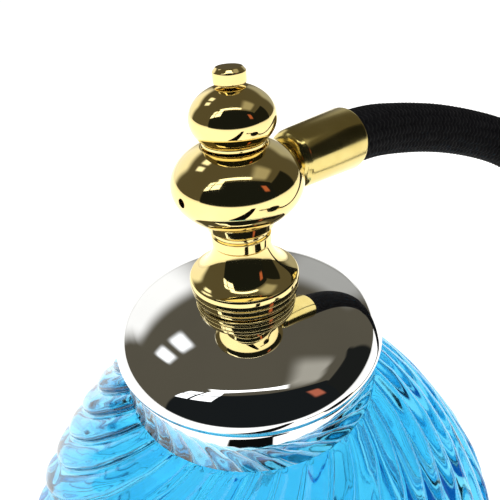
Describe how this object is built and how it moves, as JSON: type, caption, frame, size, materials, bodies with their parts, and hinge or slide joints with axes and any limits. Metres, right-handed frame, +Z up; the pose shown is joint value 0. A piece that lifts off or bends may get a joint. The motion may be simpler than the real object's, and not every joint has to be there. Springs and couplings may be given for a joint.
{
  "type": "bulb atomizer perfume bottle",
  "caption": "Swirl-ribbed glass perfume bottle with a chromed collar, a turned brass spray head, and a covered hose and squeeze bulb.",
  "frame": {"origin": "centre of the flat underside of the glass bottle", "axes": "+Z up along the bottle's axis, +X towards the side where the squeeze bulb lies, -Y towards the viewer"},
  "size_m": [0.157, 0.1803, 0.109],
  "materials": {
    "blue_glass": "clear cyan-blue pressed glass",
    "chrome_plate": "mirror-polished plating",
    "gold_plate": "mirror-polished gold plating",
    "satin_gold": "gold plating with a soft satin shine",
    "raw_brass": "turned, unplated",
    "white_plastic": "moulded",
    "clear_plastic": "extruded, translucent",
    "black_rubber": "moulded, matt",
    "black_thread": "crocheted rayon cord"
  },
  "bodies": {
    "bottle": {"glass_bottle": "blue_glass", "collar_cap": "chrome_plate", "collar_liner": "white_plastic", "neck_gasket": "black_rubber", "head_seal": "black_rubber"},
    "siphon": {"siphon_tube": "clear_plastic"},
    "nipple": {"head_nipple": "raw_brass"},
    "head": {"head_body": "gold_plate", "liquid_tube": "raw_brass", "valve_seat": "raw_brass", "nozzle_jet": "raw_brass", "air_nipple": "raw_brass", "hose_ferrule": "satin_gold", "hose": "black_thread", "bulb_ferrule": "satin_gold", "outlet_barb": "raw_brass", "rubber_bulb": "black_rubber", "bulb_net": "black_thread", "inlet_seat": "raw_brass", "tassel_cap": "satin_gold", "tassel": "black_thread"},
    "stem": {"valve_stem": "raw_brass", "stem_seal": "black_rubber"},
    "finial": {"finial_ball": "gold_plate", "finial_knob": "gold_plate"},
    "inlet_valve": {"inlet_disc": "black_rubber"}
  },
  "joints": [
    {"name": "head_lift", "type": "slide", "parent": "bottle", "child": "siphon", "axis": [0, 0, 1], "range_m": [0, 0.07]},
    {"name": "thread_rise", "type": "slide", "parent": "siphon", "child": "nipple", "axis": [0, 0, 1], "range_m": [0, 0.003]},
    {"name": "head_twist", "type": "hinge", "parent": "nipple", "child": "head", "pos_m": [0, 0, 0.076], "axis": [0, 0, 1], "range_deg": [0, 720]},
    {"name": "valve_rise", "type": "slide", "parent": "head", "child": "stem", "axis": [0, 0, 1], "range_m": [0, 0.0007]},
    {"name": "finial_turn", "type": "hinge", "parent": "stem", "child": "finial", "pos_m": [0, 0, 0.1], "axis": [0, 0, 1], "range_deg": [0, 360]},
    {"name": "bulb_squeeze", "type": "slide", "parent": "head", "child": "inlet_valve", "axis": [0, -1, 0], "range_m": [0, 0.0015], "stiffness_N_per_m": 20, "deforming": ["rubber_bulb", "bulb_net"]}
  ],
  "couplings": [
    {"joint": "thread_rise", "follows": "head_twist", "m_per_rad": 0.00023873},
    {"joint": "finial_turn", "follows": "valve_rise", "rad_per_m": 8976}
  ]
}
